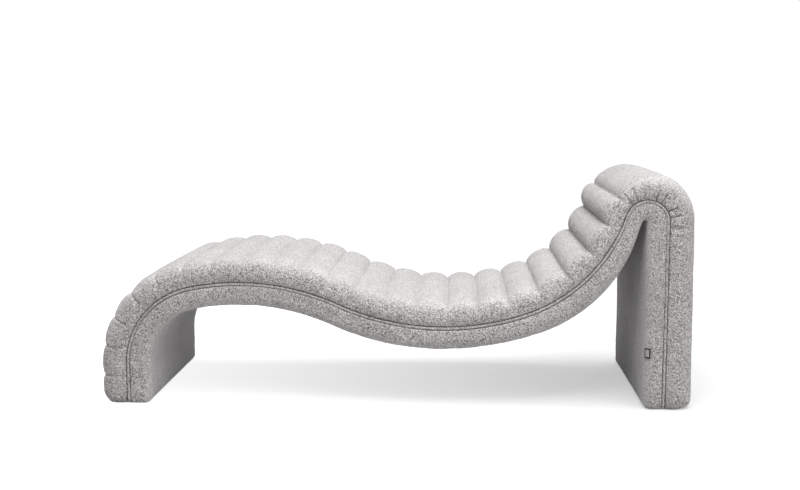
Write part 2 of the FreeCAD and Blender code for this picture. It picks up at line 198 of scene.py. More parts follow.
@dataclass(frozen=True)
class Profile:
    """Side view of the chaise: its seam line, the outline of its under face, and the line that the
    channels are spaced along."""

    foot_rise: float = 0.134
    knee: Bend = Bend(0.260, -77.6)
    calf_rest: Bend = Bend(0.798, -36.4)
    seat: Bend = Bend(0.849, 41.9)
    back: Bend = Bend(0.520, 54.0)
    head_radius: float = 0.066
    foot_crown: float = 0.098
    head_crown: float = 0.097
    under_depth: float = 0.071
    head_leg_depth: float = 0.063
    under_run_on: float = 0.024
    slit_angle: float = 72.0
    slit_radius: float = 0.008
    slit_depth: float = 0.060
    pitch_height: float = 0.080

    def seam(self) -> Path:
        """The side seam line, from the floor at the foot to the floor at the head."""
        upright = math.radians(90.0)
        bends = (self.knee, self.calf_rest, self.seat, self.back)
        heading = 90.0 + sum(bend.turn for bend in bends)
        runs = (Straight(self.foot_rise), *bends, Bend(self.head_radius, -90.0 - heading))
        head_x, head_z, _ = Path((0.0, 0.0, upright), runs).last()
        foot_x = -(head_x + self.head_crown - self.foot_crown) / 2.0
        return Path((foot_x, 0.0, upright), (*runs, Straight(head_z)))

    def pitch(self) -> Path:
        """The line that the channels are spaced along."""
        return self.seam().offset(self.pitch_height)

    def under(self) -> Path:
        """Outline of the under face, with the slit below the head roll and the head leg's inner face."""
        seam = self.seam()
        parallel = seam.offset(-self.under_depth)
        body = (*parallel.runs[: Run.BACK], Straight(self.under_run_on))
        begin_x, begin_z, begin = Path(parallel.start, body).last()
        head_x, head_z, _ = Path(seam.start, seam.runs[:-1]).last()
        slit = math.radians(self.slit_angle)
        centre_x = head_x - self.head_leg_depth - self.slit_radius
        centre_z = head_z + self.head_radius - self.slit_depth - self.slit_radius
        meets_x, meets_z = raised(np.array([centre_x, centre_z, slit]), self.slit_radius)
        stand_off = (begin_z - meets_z) * math.cos(slit) + (meets_x - begin_x) * math.sin(slit)
        radius = stand_off / (1.0 - math.cos(slit - begin))
        body += (Bend(radius, math.degrees(slit - begin)),)
        end_x, end_z, _ = Path(parallel.start, body).last()
        body += (
            Straight(math.hypot(meets_x - end_x, meets_z - end_z)),
            Bend(self.slit_radius, -90.0 - self.slit_angle),
            Straight(centre_z),
        )
        return Path(parallel.start, body)


PROFILE = Profile()
SEAM = PROFILE.seam()
UNDER = PROFILE.under()
PITCH = PROFILE.pitch()

COVER_HALF = 0.350
SEAM_HALF = 0.346
CORE_HALF = 0.329
FOAM_TOP = 0.052
FOAM_BOTTOM = 0.024
UNDER_WALL = 0.015
SOFT_GAP = 0.0003
COVER_LIFT = 0.004
CLOTH_LIFT = 0.001
SEAM_EDGE = 0.006
UNDER_EDGE_RADIUS = 0.025
ROW_STEP = 0.0077
SMOOTH_ANGLE = math.radians(40.0)
TINY = 1e-6
ROSY = (1.0, -0.55, -0.9)


def steps(begin: float, end: float, size: float = ROW_STEP) -> np.ndarray:
    """At least two evenly spaced values, about a size apart, up to an end that is left out."""
    return np.linspace(begin, end, max(round((end - begin) / size), 2), endpoint=False)


def with_middles(values: np.ndarray, axes: tuple[int, ...] = (0,)) -> np.ndarray:
    """Puts the middle of each two neighbours between them.

    Args:
        values: Any array.
        axes: The axes along which the middles go in.

    Returns:
        An array with 2n - 1 values along each of those axes.
    """
    for axis in axes:
        turned = np.moveaxis(values, axis, 0)
        made = np.empty((2 * len(turned) - 1, *turned.shape[1:]))
        made[0::2] = turned
        made[1::2] = (turned[1:] + turned[:-1]) / 2.0
        values = np.moveaxis(made, 0, axis)
    return values


def shares(rows: int, columns: int) -> list[np.ndarray]:
    """Shares from 0 to 1 along the rows and along the columns of a grid."""
    return np.meshgrid(np.linspace(0.0, 1.0, rows), np.linspace(0.0, 1.0, columns), indexing="ij")


def deselect() -> None:
    """Deselects every object."""
    bpy.ops.object.select_all(action="DESELECT")


def take_up(piece: bpy.types.Object) -> None:
    """Makes one object the only selected one and the active one."""
    deselect()
    piece.select_set(True)
    bpy.context.view_layer.objects.active = piece


def apply(piece: bpy.types.Object, kind: str, **settings: object) -> None:
    """Adds a modifier to a piece and applies it.

    Args:
        piece: The piece.
        kind: The modifier's type.
        **settings: The modifier's settings.
    """
    take_up(piece)
    modifier = piece.modifiers.new(kind.title(), kind)
    for name, value in settings.items():
        setattr(modifier, name, value)
    bpy.ops.object.modifier_apply(modifier=modifier.name)


def vertices(piece: bpy.types.Object) -> np.ndarray:
    """The places of a piece's vertices."""
    found = np.empty(len(piece.data.vertices) * 3)
    piece.data.vertices.foreach_get("co", found)
    return found.reshape(-1, 3)


def place_vertices(piece: bpy.types.Object, points: np.ndarray) -> None:
    """Moves a piece's vertices to new places."""
    piece.data.vertices.foreach_set("co", points.ravel())
    piece.data.update()


def wrapped_grid(name: str, points: np.ndarray) -> bpy.types.Object:
    """Adds a grid and wraps it onto a surface.

    Args:
        name: Name of the new object.
        points: Places of the surface, by row and column.

    Returns:
        The new object.
    """
    rows, columns = points.shape[:2]
    deselect()
    bpy.ops.mesh.primitive_grid_add(x_subdivisions=columns - 1, y_subdivisions=rows - 1, size=1.0)
    piece = bpy.context.object
    piece.name = name
    piece.location = (0.0, 0.0, 0.0)
    place_vertices(piece, points)
    return piece


def closed_shell(name: str, outer: np.ndarray, inner: np.ndarray) -> bpy.types.Object:
    """Joins an outer and an inner surface into one closed mesh with flat ends.

    Args:
        name: Name of the new object.
        outer: Places of the outer surface, by row and column, wound so that it faces out.
        inner: Places of the inner surface in the same rows, which carry on round the section.

    Returns:
        The new object.
    """
    ring = np.concatenate([outer, inner], axis=1)
    rows, columns = ring.shape[:2]
    index = np.arange(rows * columns).reshape(rows, columns)
    first, second = index[:-1], index[1:]
    quads = np.stack(
        [first, np.roll(first, -1, 1), np.roll(second, -1, 1), second], axis=-1
    ).reshape(-1, 4)
    faces = quads.tolist() + [index[0][::-1].tolist(), index[-1].tolist()]
    mesh = bpy.data.meshes.new(name)
    mesh.from_pydata(ring.reshape(-1, 3).tolist(), [], faces)
    mesh.validate()
    piece = bpy.data.objects.new(name, mesh)
    bpy.context.scene.collection.objects.link(piece)
    take_up(piece)
    bpy.ops.object.shade_smooth()
    return piece


def outward(points: np.ndarray) -> np.ndarray:
    """Unit normals of a surface given by row and column."""
    along = np.gradient(points, axis=0)
    across = np.gradient(points, axis=1)
    normals = np.cross(across, along)
    return normals / np.maximum(np.linalg.norm(normals, axis=-1, keepdims=True), TINY**2)


def fade(distance: np.ndarray, reach: float) -> np.ndarray:
    """A share that falls from 1 at no distance to 0 far beyond the reach."""
    return np.exp(-((np.abs(distance) / reach) ** 2))


def window(values: np.ndarray, begin: float, end: float, soft: float) -> np.ndarray:
    """A share that is 1 between two values and fades to 0 outside them within a soft width."""
    outside = np.maximum(begin - values, values - end)
    return fade(np.maximum(outside, 0.0), soft)


def round_in(left: np.ndarray) -> np.ndarray:
    """How far a quarter round has drawn in, from 0 at its beginning to 1 at its end."""
    return 1.0 - np.sqrt(np.maximum(1.0 - left**2, 0.0))


def from_ends(along: np.ndarray) -> np.ndarray:
    """How far each distance along the seam line is from the nearer hem of the cloth."""
    return np.minimum(along, SEAM.ends()[-1] - along) - CLOTH_LIFT


@dataclass(frozen=True)
class Ripple:
    """Small uneven waves in the cloth: their height, and how long and how wandering they are."""

    height: float
    wave: float
    sway: float
    sway_wave: float

    def over(self, values: np.ndarray, along: np.ndarray) -> np.ndarray:
        """Waves between -1 and 1 over the values, which wander with the distance along the body."""
        return np.sin(values / self.wave + self.sway * np.sin(along / self.sway_wave))


@dataclass(frozen=True)
class Pinch:
    """How a stitched seam draws the cloth in beside it."""

    depth: float = 0.0031
    reach: float = 0.006
    share: float = 0.70
    waves: tuple[float, float] = (0.0016, 0.0037)
    shift: float = 0.7

    def beside(self, along: np.ndarray, off: np.ndarray) -> np.ndarray:
        """How far the cloth is drawn in.

        Args:
            along: Distance of each row along the seam.
            off: Distance of each place from the seam, by row and column.

        Returns:
            A depth for each place.
        """
        short, long = self.waves
        unlike = np.sin(along / short) * np.sin(along / long + self.shift)
        depth = self.depth * (self.share + (1.0 - self.share) * unlike)
        return depth[:, None] * np.exp(-off / self.reach)


@dataclass(frozen=True)
class Padding:
    """How the wadding under a cover fills out its cloth."""

    stretch: float
    pressure: float = 2.0
    stiffness: float = 12.0
    bending: float = 1.5
    frames: int = 15
    cap: float = 0.0018

    def fill(self, piece: bpy.types.Object, pinned: np.ndarray) -> None:
        """Blows a cover up between its pinned points and applies the result.

        Args:
            piece: The cover's outer surface.
            pinned: How firmly each vertex is held, from 0 to 1.
        """
        start = vertices(piece)
        group = piece.vertex_groups.new(name="stitched")
        for hold in np.unique(pinned[pinned > 0.0]):
            group.add(np.flatnonzero(pinned == hold).tolist(), float(hold), "REPLACE")
        take_up(piece)
        cloth = piece.modifiers.new("Padding", "CLOTH")
        settings = cloth.settings
        settings.vertex_group_mass = group.name
        settings.pin_stiffness = 1.0
        settings.use_pressure = True
        settings.uniform_pressure_force = self.pressure
        settings.tension_stiffness = self.stiffness
        settings.compression_stiffness = self.stiffness
        settings.shear_stiffness = self.stiffness / 2.0
        settings.bending_stiffness = self.bending
        settings.shrink_min = -self.stretch
        settings.effector_weights.gravity = 0.0
        cloth.collision_settings.use_collision = False
        cloth.point_cache.frame_end = self.frames
        scene = bpy.context.scene
        for number in range(1, self.frames + 1):
            scene.frame_set(number)
        bpy.ops.object.modifier_apply(modifier=cloth.name)
        moved = vertices(piece) - start
        far = np.linalg.norm(moved, axis=1, keepdims=True)
        held = moved * np.minimum(1.0, self.cap / np.maximum(far, TINY**2))
        place_vertices(piece, start + held)
        scene.frame_set(1)
        LOG.info("%s filled, moved by %.4f m on average, %.4f m at most", piece.name, far.mean(), far.max())


def softened(piece: bpy.types.Object, shape: tuple[int, int]) -> np.ndarray:
    """Subdivides a grid once, reads it back by row and column, and removes it.

    Args:
        piece: A wrapped grid.
        shape: Its rows and columns.

    Returns:
        Places of the finer surface, by row and column.
    """
    row, column = np.indices(shape)
    for name, values in (("row", row), ("column", column)):
        attribute = piece.data.attributes.new(name, "FLOAT", "POINT")
        attribute.data.foreach_set("value", values.ravel().astype(np.float32))
    apply(piece, "SUBSURF", levels=1, render_levels=1)
    points = vertices(piece)
    found = []
    for name in ("row", "column"):
        values = np.empty(len(points), np.float32)
        piece.data.attributes[name].data.foreach_get("value", values)
        found.append(np.rint(values * 2.0).astype(int))
    made = np.empty((2 * shape[0] - 1, 2 * shape[1] - 1, 3))
    made[found[0], found[1]] = points
    bpy.data.objects.remove(piece)
    return made


@dataclass(frozen=True)
class Nap:
    """Loose loops and soft unevenness that the cloth's surface really has."""

    loop_size: float = 0.0055
    loop_height: float = 0.0016
    dent_size: float = 0.075
    dent_height: float = 0.0024
    hem_rows: tuple[int, int] = (2, 4)
    hem_share: float = 0.5
    seam_columns: int = 3

    def weights(self, rows: int, ring: int, columns: int) -> np.ndarray:
        """How much of the nap each vertex of a shell takes: none at the hems, seams and inside.

        Args:
            rows: Rows of the shell.
            ring: Vertices of each row, outside and inside.
            columns: Vertices of each row's outer surface, which come first.

        Returns:
            A share for each vertex.
        """
        bare, full = self.hem_rows
        taken = np.zeros((rows, ring))
        outer = slice(self.seam_columns, columns - self.seam_columns)
        taken[bare:-bare, outer] = self.hem_share
        taken[full:-full, outer] = 1.0
        return taken.ravel()

    def raise_on(self, piece: bpy.types.Object, weights: np.ndarray) -> None:
        """Displaces a piece's vertices along their normals.

        Args:
            piece: The piece.
            weights: How much of the nap each vertex takes, from 0 to 1.
        """
        group = piece.vertex_groups.new(name="nap")
        for weight in np.unique(weights[weights > 0.0]):
            group.add(np.flatnonzero(weights == weight).tolist(), float(weight), "REPLACE")
        for name, size, height in (
            ("dents", self.dent_size, self.dent_height),
            ("loops", self.loop_size, self.loop_height),
        ):
            texture = bpy.data.textures.new(name, "CLOUDS")
            texture.noise_scale = size
            texture.noise_depth = 1
            apply(piece, "DISPLACE", texture=texture, texture_coords="LOCAL", strength=height,
                  mid_level=0.5, vertex_group=group.name)


class Board:
    """Adds and joins the shader nodes of one material or world."""

    def __init__(self, name: str, kind: str = "materials") -> None:
        """Starts an empty material with that name, or a world where the kind is worlds."""
        self.owner = getattr(bpy.data, kind).new(name)
        self.owner.use_nodes = True
        self.tree = self.owner.node_tree
        self.tree.nodes.clear()

    def add(self, kind: str, inputs: dict | None = None, **settings: object) -> bpy.types.Node:
        """Adds a node.

        Args:
            kind: The node's type, without its first words.
            inputs: For an input, by name or number, a value or the output socket that feeds it.
            **settings: The node's own settings.

        Returns:
            The new node.
        """
        node = self.tree.nodes.new("ShaderNode" + kind)
        for name, value in settings.items():
            setattr(node, name, value)
        for name, value in (inputs or {}).items():
            if isinstance(value, bpy.types.NodeSocket):
                self.tree.links.new(value, node.inputs[name])
            else:
                node.inputs[name].default_value = value
        return node

    def maths(self, operation: str, *values: object) -> bpy.types.NodeSocket:
        """The result of a sum on numbers or sockets."""
        return self.add("Math", dict(enumerate(values)), operation=operation).outputs[0]

    def vectors(self, operation: str, inputs: dict) -> bpy.types.NodeSocket:
        """The result of a sum on vectors."""
        return self.add("VectorMath", inputs, operation=operation).outputs[0]

    def spread(self, value: bpy.types.NodeSocket, *limits: float) -> bpy.types.NodeSocket:
        """A value taken from the first two limits to the last two."""
        names = ("From Min", "From Max", "To Min", "To Max")
        return self.add("MapRange", {"Value": value, **dict(zip(names, limits))}).outputs[0]

    def blend(self, share: object, first: object, second: object) -> bpy.types.NodeSocket:
        """A colour between two, by a share."""
        node = self.add("Mix", {0: share, 6: first, 7: second}, data_type="RGBA")
        return node.outputs[2]

    def coordinates(self, scale: tuple[float, float, float] = (1.0, 1.0, 1.0)) -> bpy.types.NodeSocket:
        """Places on the object, scaled along each axis."""
        places = self.add("TexCoord").outputs["Object"]
        return self.add("Mapping", {"Vector": places, "Scale": scale}).outputs[0]

    def finish(self, colour: object, bumps: list[tuple], **shader: object) -> bpy.types.Material:
        """Ends the material in a Principled shader.

        Args:
            colour: The base colour's socket.
            bumps: Heights from coarse to fine, each a socket, a strength and a distance.
            **shader: Other inputs of the shader, with an underscore for each space.

        Returns:
            The material.
        """
        inputs = {name.replace("_", " "): value for name, value in shader.items()}
        for height, strength, distance in bumps:
            bump = {"Height": height, "Strength": strength, "Distance": distance}
            if "Normal" in inputs:
                bump["Normal"] = inputs["Normal"]
            inputs["Normal"] = self.add("Bump", bump).outputs[0]
        body = self.add("BsdfPrincipled", {"Base Color": colour, **inputs})
        self.add("OutputMaterial", {"Surface": body.outputs[0]})
        return self.owner


def grey(level: float, warmth: float = 0.0) -> Colour:
    """A grey as a colour, a little rosier for a positive warmth."""
    red, green, blue = (level * (1.0 + share * warmth) for share in ROSY)
    return (red, green, blue, 1.0)


@dataclass(frozen=True)
class Boucle:
    """Looped wool cloth: pale curls whose colour darkens towards each loop's edge, which paints the shade
    in the gaps between loops, with light and dark flecks.
    """

    name: str
    loop: float = 0.0047
    # Colour of the gaps between loops, darkened to paint their shade.
    painted_gap_shade: float = 0.155
    curl: float = 0.76
    fleck: float = 1.0
    warmth: float = 0.038
    relief: float = 0.9
    # Colours where light is painted in: lighter and with less contrast, on lit tops and on shaded inner
    # faces.
    painted_light_gap_shade: float = 0.39
    painted_light_curl: float = 0.68
    painted_light_warmth: float = 0.018

    def make(self) -> bpy.types.Material:
        """Builds the material. Where its point attribute is 1, on the lit tops and the shaded inner faces,
        the colour is painted lighter and with less contrast: painted light.
        """
        board = Board(self.name)
        places = board.coordinates()
        sway = board.add("TexNoise", {"Vector": places, "Scale": 0.55 / self.loop, "Detail": 2.0})
        shift = board.vectors("SUBTRACT", {0: sway.outputs["Color"], 1: (0.5, 0.5, 0.5)})
        warp = board.vectors("SCALE", {0: shift, "Scale": 1.5 * self.loop})
        warped = board.vectors("ADD", {0: places, 1: warp})
        loops = board.add("TexVoronoi", {"Vector": warped, "Scale": 1.0 / self.loop})
        curls = board.add("TexVoronoi", {"Vector": warped, "Scale": 2.1 / self.loop})
        fibres = board.add("TexNoise", {"Vector": warped, "Scale": 5.0 / self.loop, "Detail": 3.0})
        patches = board.add("TexNoise", {"Vector": places, "Scale": 7.0, "Detail": 2.0})
        tint = board.add("SeparateColor", {0: loops.outputs["Color"]})
        fine_tint = board.add("SeparateColor", {0: curls.outputs["Color"]})
        # Each loop is lighter at its crest and darker towards its edge, where the gaps between loops lie in
        # shade: painted shade that follows the bump's relief.
        crest = board.spread(loops.outputs["Distance"], 0.15, 0.75, 1.0, 0.0)
        curl_crest = board.spread(curls.outputs["Distance"], 0.1, 0.8, 1.0, 0.0)
        height = board.maths("MULTIPLY_ADD", curl_crest, 0.45, crest)
        light = board.maths("MULTIPLY_ADD", curl_crest, 0.35, board.maths("MULTIPLY", crest, 0.65))
        uneven = board.spread(tint.outputs[1], 0.0, 1.0, -0.22, 0.22)
        share = board.maths("ADD", light, uneven)
        share = board.maths("ADD", share, board.spread(fibres.outputs["Fac"], 0.3, 0.7, -0.12, 0.12))
        # A point attribute marks the painted light: 1 where lit tops and shaded inner faces are painted
        # lighter and flatter.
        plain = board.add("Attribute", attribute_name="plain").outputs["Fac"]
        painted_gap_shade, curl = (
            board.blend(plain, grey(level, self.warmth), grey(painted_light_level, self.painted_light_warmth))
            for level, painted_light_level in ((self.painted_gap_shade, self.painted_light_gap_shade), (self.curl, self.painted_light_curl))
        )
        clamped = board.add("Clamp", {"Value": share}).outputs[0]
        colour = board.blend(clamped, painted_gap_shade, curl)
        bright = board.spread(fine_tint.outputs[0], 0.74, 0.8, 0.0, 0.85)
        bright = board.maths("MULTIPLY", bright, board.spread(plain, 0.0, 1.0, 1.0, 0.30))
        bright = board.maths("MULTIPLY", bright, curl_crest)
        colour = board.blend(bright, colour, grey(self.fleck))
        shade = board.spread(patches.outputs["Fac"], 0.3, 0.7, 0.95, 1.05)
        toned = board.vectors("SCALE", {0: colour, "Scale": shade})
        relief = board.maths("MULTIPLY", height, board.spread(plain, 0.0, 1.0, 1.0, 0.3))
        return board.finish(
            toned,
            [(relief, self.relief, 0.35 * self.loop), (fibres.outputs["Fac"], 0.35, 0.0006)],
            Roughness=0.95,
            Sheen_Weight=0.12,
            Sheen_Roughness=0.5,
            Specular_IOR_Level=0.15,
        )


@dataclass(frozen=True)
class Grain:
    """Wood with grain along one axis, and glue lines where it is plywood."""

    name: str
    pale: Colour
    dark: Colour
    stretch: tuple[float, float, float] = (1.0, 0.08, 1.0)
    plies: float = 0.0

    def make(self) -> bpy.types.Material:
        """Builds the material."""
        board = Board(self.name)
        places = board.coordinates(self.stretch)
        rings = board.add("TexNoise", {"Vector": places, "Scale": 60.0, "Detail": 6.0, "Distortion": 0.8})
        pores = board.add("TexNoise", {"Vector": places, "Scale": 900.0, "Detail": 2.0})
        share = board.spread(rings.outputs["Fac"], 0.35, 0.65, 0.0, 1.0)
        if self.plies:
            layers = board.add(
                "TexWave", {"Vector": board.coordinates(), "Scale": self.plies, "Distortion": 0.4},
                bands_direction="Y",
            )
            share = board.maths("MULTIPLY_ADD", layers.outputs["Fac"], 0.35, share)
        colour = board.blend(share, self.pale, self.dark)
        return board.finish(
            colour,
            [(rings.outputs["Fac"], 0.3, 0.0006), (pores.outputs["Fac"], 0.3, 0.0002)],
            Roughness=0.7,
        )


@dataclass(frozen=True)
class Speckled:
    """A plain stuff with fine grain: foam, felt, moulded plastic or thread."""

    name: str
    pale: Colour
    dark: Colour
    cell: float
    relief: float = 0.5
    roughness: float = 0.8

    def make(self) -> bpy.types.Material:
        """Builds the material."""
        board = Board(self.name)
        cells = board.add("TexVoronoi", {"Vector": board.coordinates(), "Scale": 1.0 / self.cell})
        mottle = board.add(
            "TexNoise", {"Vector": board.coordinates(), "Scale": 0.2 / self.cell, "Detail": 4.0}
        )
        share = board.maths("MULTIPLY", cells.outputs["Distance"], mottle.outputs["Fac"])
        colour = board.blend(board.spread(share, 0.1, 0.5, 0.0, 1.0), self.pale, self.dark)
        return board.finish(
            colour, [(cells.outputs["Distance"], self.relief, self.cell / 3.0)],
            Roughness=self.roughness,
        )


@dataclass(frozen=True)
class Woven:
    """Plain weave: threads over and under each other, following the piece's own coordinates. A border
    as wide as its share of the piece is darker."""

    name: str
    pale: Colour
    dark: Colour
    threads: tuple[float, float]
    border: tuple[float, float] = (0.0, 0.0)
    border_colour: Colour = (0.05, 0.05, 0.05, 1.0)

    def make(self) -> bpy.types.Material:
        """Builds the material."""
        board = Board(self.name)
        places = board.add("UVMap", uv_map="UVMap").outputs[0]
        split = board.add("SeparateXYZ", {0: places})
        waves = []
        for axis, count in enumerate(self.threads):
            turned = board.maths("MULTIPLY", split.outputs[axis], count * math.pi)
            waves.append(board.maths("SINE", turned))
        weave = board.spread(board.maths("MULTIPLY", *waves), -1.0, 1.0, 0.0, 1.0)
        colour = board.blend(weave, self.dark, self.pale)
        if any(self.border):
            inside = []
            for axis, width in enumerate(self.border):
                off = board.maths("ABSOLUTE", board.maths("SUBTRACT", split.outputs[axis], 0.5))
                inside.append(board.maths("GREATER_THAN", off, 0.5 - width))
            colour = board.blend(board.maths("MAXIMUM", *inside), colour, self.border_colour)
        return board.finish(colour, [(weave, 0.6, 0.0003)], Roughness=0.85)


def hand_over(
    piece: bpy.types.Object,
    finish: bpy.types.Material,
    node: str | None = None,
) -> bpy.types.Object:
    """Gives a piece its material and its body.

    Args:
        piece: The finished piece.
        finish: Its material.
        node: The node that it stands for.

    Returns:
        The same piece.
    """
    piece.data.materials.append(finish)
    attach(piece, BODY)
    if node is not None:
        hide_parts(node)
    return piece


def inner_corners(
    places: np.ndarray, base: float, corners: tuple[tuple[float, float], ...]
) -> np.ndarray:
    """Corners of a shell's hollow in each row.

    Args:
        places: The rows' places on their path.
        base: The seam line's height from that path.
        corners: Each corner's Y and height above the seam line.

    Returns:
        Places by row and corner.
    """
    made = []
    for y, height in corners:
        x, z = raised(places, base + height)
        made.append(np.stack([x, np.full_like(x, y), z], axis=-1))
    return np.stack(made, axis=1)


def raise_nap(piece: bpy.types.Object, plain: np.ndarray) -> None:
    """Raises a cover's nap and marks where light is painted into its colour.

    Args:
        piece: The cover as a closed shell.
        plain: How much painted light each place of its outer surface takes, from 0 to 1, by row and column.
    """
    rows, columns = plain.shape
    ring = len(piece.data.vertices) // rows
    nap = Nap()
    nap.raise_on(piece, nap.weights(rows, ring, columns))
    marks = np.zeros((rows, ring), np.float32)
    marks[:, :columns] = plain
    attribute = piece.data.attributes.new("plain", "FLOAT", "POINT")
    attribute.data.foreach_set("value", marks.ravel())


@dataclass
class ChannelCover:
    """The quilted upper cover: channels across the body, a plain roll over the head, the plain back
    of the head leg, and hems at the floor."""

    channel_pitch: float = 0.0995
    first_stitch: float = 0.094
    last_reach: float = 0.100
    crown_front: float = 0.0905
    crown_head: float = 0.0845
    stitch_foot: float = 0.0915
    stitch_front: float = 0.0795
    stitch_head: float = 0.061
    roll_rise: float = 0.050
    roll_crown: float = 0.075
    top_crown: float = 0.0945
    leg_crown: float = 0.0915
    hem_crown: float = 0.078
    hem_height: float = 0.036
    hem_draw: float = 0.0125
    roundness: float = 2.4
    shoulder: float = 0.050
    stitch_shoulder: float = 0.038
    stitch_draw: float = 0.0018
    dome: float = 0.003
    flank_swell: float = 0.0015
    flank_columns: int = 6
    shoulder_columns: int = 10
    top_columns: int = 42
    foot_taper: float = 0.3
    crown_taper: tuple[float, float] = (-0.175, 0.09)
    stitch_taper: tuple[float, float] = (-0.42, 0.24)
    crease_depth: float = 0.0052
    crease_width: float = 0.0032
    crease_from: float = 0.026
    crease_fade: float = 0.034
    tuck: Ripple = Ripple(0.0005, 0.0036, 3.0, 0.031)
    tuck_reach: float = 0.012
    tuck_middle: float = 0.6
    gather: Ripple = Ripple(0.0090, 0.0084, 1.3, 0.021)
    gather_sharpness: int = 8
    gather_margin: float = 0.03
    gather_fade: float = 0.05
    gather_rise: tuple[float, float] = (0.030, 0.016)
    knee_tuck: Ripple = Ripple(0.0007, 0.0034, 2.0, 0.023)
    knee: tuple[float, float, float] = (0.10, 0.50, 0.10)
    knee_rise: tuple[float, float] = (0.016, 0.010)
    pinch: Pinch = Pinch()
    # Painted light on the channels' upward tops: from which height, how much, and how it follows the slope.
    painted_light_from: float = 0.050
    painted_light_to: float = 0.078
    painted_light_share: float = 0.75
    painted_light_slope: float = 2.0
    painted_light_lean: float = 0.2
    padding: Padding = Padding(stretch=0.008)

    def full(self, share: np.ndarray) -> np.ndarray:
        """Fullness of a channel, from 0 at its stitched lines to 1 at its crown."""
        return 1.0 - np.abs(2.0 * share - 1.0) ** self.roundness

    def lines(self) -> np.ndarray:
        """Distances of the stitched lines along the pitch line."""
        room = PITCH.ends()[Run.ROLL] + self.last_reach - self.first_stitch
        return self.first_stitch + self.channel_pitch * np.arange(int(room / self.channel_pitch) + 1)

    def rows(self) -> np.ndarray:
        """Distances of the rows of cloth along the pitch line, with one on each stitched line."""
        lines = self.lines()
        leg = PITCH.ends()[Run.HEAD_LEG]
        end = PITCH.ends()[-1] - CLOTH_LIFT
        channels = [steps(begin, stop) for begin, stop in zip(lines, lines[1:])]
        return np.concatenate(
            [
                steps(CLOTH_LIFT, self.first_stitch),
                *channels,
                steps(lines[-1], leg),
                steps(leg, end - self.hem_height),
                steps(end - self.hem_height, end, ROW_STEP / 2.0),
                [end],
            ]
        )

    def shape(self, rows: np.ndarray) -> dict[str, np.ndarray]:
        """Sizes of the section at each row.

        Args:
            rows: Distances along the pitch line.

        Returns:
            The height of the top, its fullness from stitched line to crown, and the share of the hem.
        """
        lines = self.lines()
        ends = PITCH.ends()
        calf_rest, back, leg = ends[[Run.CALF_REST, Run.BACK, Run.HEAD_LEG]]
        begins = [calf_rest - self.foot_taper, calf_rest]
        tapers = [*begins, *(back + step for step in self.crown_taper)]
        crowns = [PROFILE.foot_crown, self.crown_front, self.crown_front, self.crown_head]
        stitched = [*begins, *(back + step for step in self.stitch_taper)]
        depths = [self.stitch_foot, self.stitch_front, self.stitch_front, self.stitch_head]
        number = np.clip(np.floor((rows - self.first_stitch) / self.channel_pitch + TINY), 0, len(lines))
        share = (rows - self.first_stitch) / self.channel_pitch - number
        crown = np.interp(self.first_stitch + (number + 0.5) * self.channel_pitch, tapers, crowns)
        valley = np.interp(rows, stitched, depths)
        fullness = self.full(share)

        foot = rows < self.first_stitch - TINY
        share = (rows - CLOTH_LIFT) / (self.first_stitch - CLOTH_LIFT)
        fullness = np.where(foot, self.full(share), fullness)
        low = foot & (share < 0.5)
        valley = np.where(foot, np.where(low, self.hem_crown, self.stitch_foot), valley)
        crown = np.where(foot, PROFILE.foot_crown, crown)
        hem = np.where(low, 1.0 - fullness, 0.0)

        last = lines[-1]
        middle = (last + self.roll_rise + leg) / 2.0
        knots = [last + self.roll_rise, middle, leg, ends[-1]]
        risen = [self.roll_crown, self.top_crown, self.leg_crown, PROFILE.head_crown]
        roll = rows > last - TINY
        share = np.clip((rows - last) / (2.0 * self.roll_rise), 0.0, 0.5)
        fullness = np.where(roll, self.full(share), fullness)
        crown = np.where(roll, np.interp(rows, knots, risen), crown)
        valley = np.where(roll, self.stitch_head, valley)
        top = valley + fullness * (crown - valley)
        left = (rows - (ends[-1] - CLOTH_LIFT - self.hem_height)) / self.hem_height
        head_hem = round_in(np.clip(left, 0.0, 1.0))
        top = top - head_hem * (PROFILE.head_crown - self.hem_crown)
        return {"top": top, "fullness": fullness, "hem": np.maximum(hem, head_hem)}

    def section(self, rows: np.ndarray) -> tuple[np.ndarray, np.ndarray]:
        """Places on the cover's section, from the far seam over the top to the near one.

        Args:
            rows: Distances along the pitch line.

        Returns:
            Each place's Y and its height above the seam line, by row and column.
        """
        shape = self.shape(rows)
        fullness, hem = shape["fullness"][:, None], shape["hem"][:, None]
        half = COVER_HALF - (1.0 - fullness) * (1.0 - hem) * self.stitch_draw - hem * self.hem_draw
        seam_half = SEAM_HALF - hem * self.hem_draw
        shoulder = self.stitch_shoulder + fullness * (self.shoulder - self.stitch_shoulder)
        edge = shape["top"][:, None] - self.dome
        waist = edge - shoulder
        inner = half - shoulder
        up = np.linspace(0.0, 1.0, self.flank_columns, endpoint=False)[None, :]
        turn = np.linspace(0.0, math.pi / 2.0, self.shoulder_columns, endpoint=False)[None, :]
        over = np.linspace(1.0, 0.0, self.top_columns + 1)[None, :]
        swell = 4.0 * up * (1.0 - up) * self.flank_swell
        y = [seam_half + up * (half - seam_half) + swell, inner + shoulder * np.cos(turn), inner * over]
        height = [
            SEAM_EDGE + up * (waist - SEAM_EDGE),
            waist + shoulder * np.sin(turn),
            edge + self.dome * (1.0 - over**2),
        ]
        y, height = np.concatenate(y, axis=1), np.concatenate(height, axis=1)
        return (
            np.concatenate([y, -y[:, -2::-1]], axis=1),
            np.concatenate([height, height[:, -2::-1]], axis=1),
        )

    def off_lines(self, rows: np.ndarray) -> np.ndarray:
        """Distance of each row from the nearest stitched line."""
        return np.abs(rows[:, None] - self.lines()[None, :]).min(axis=1)

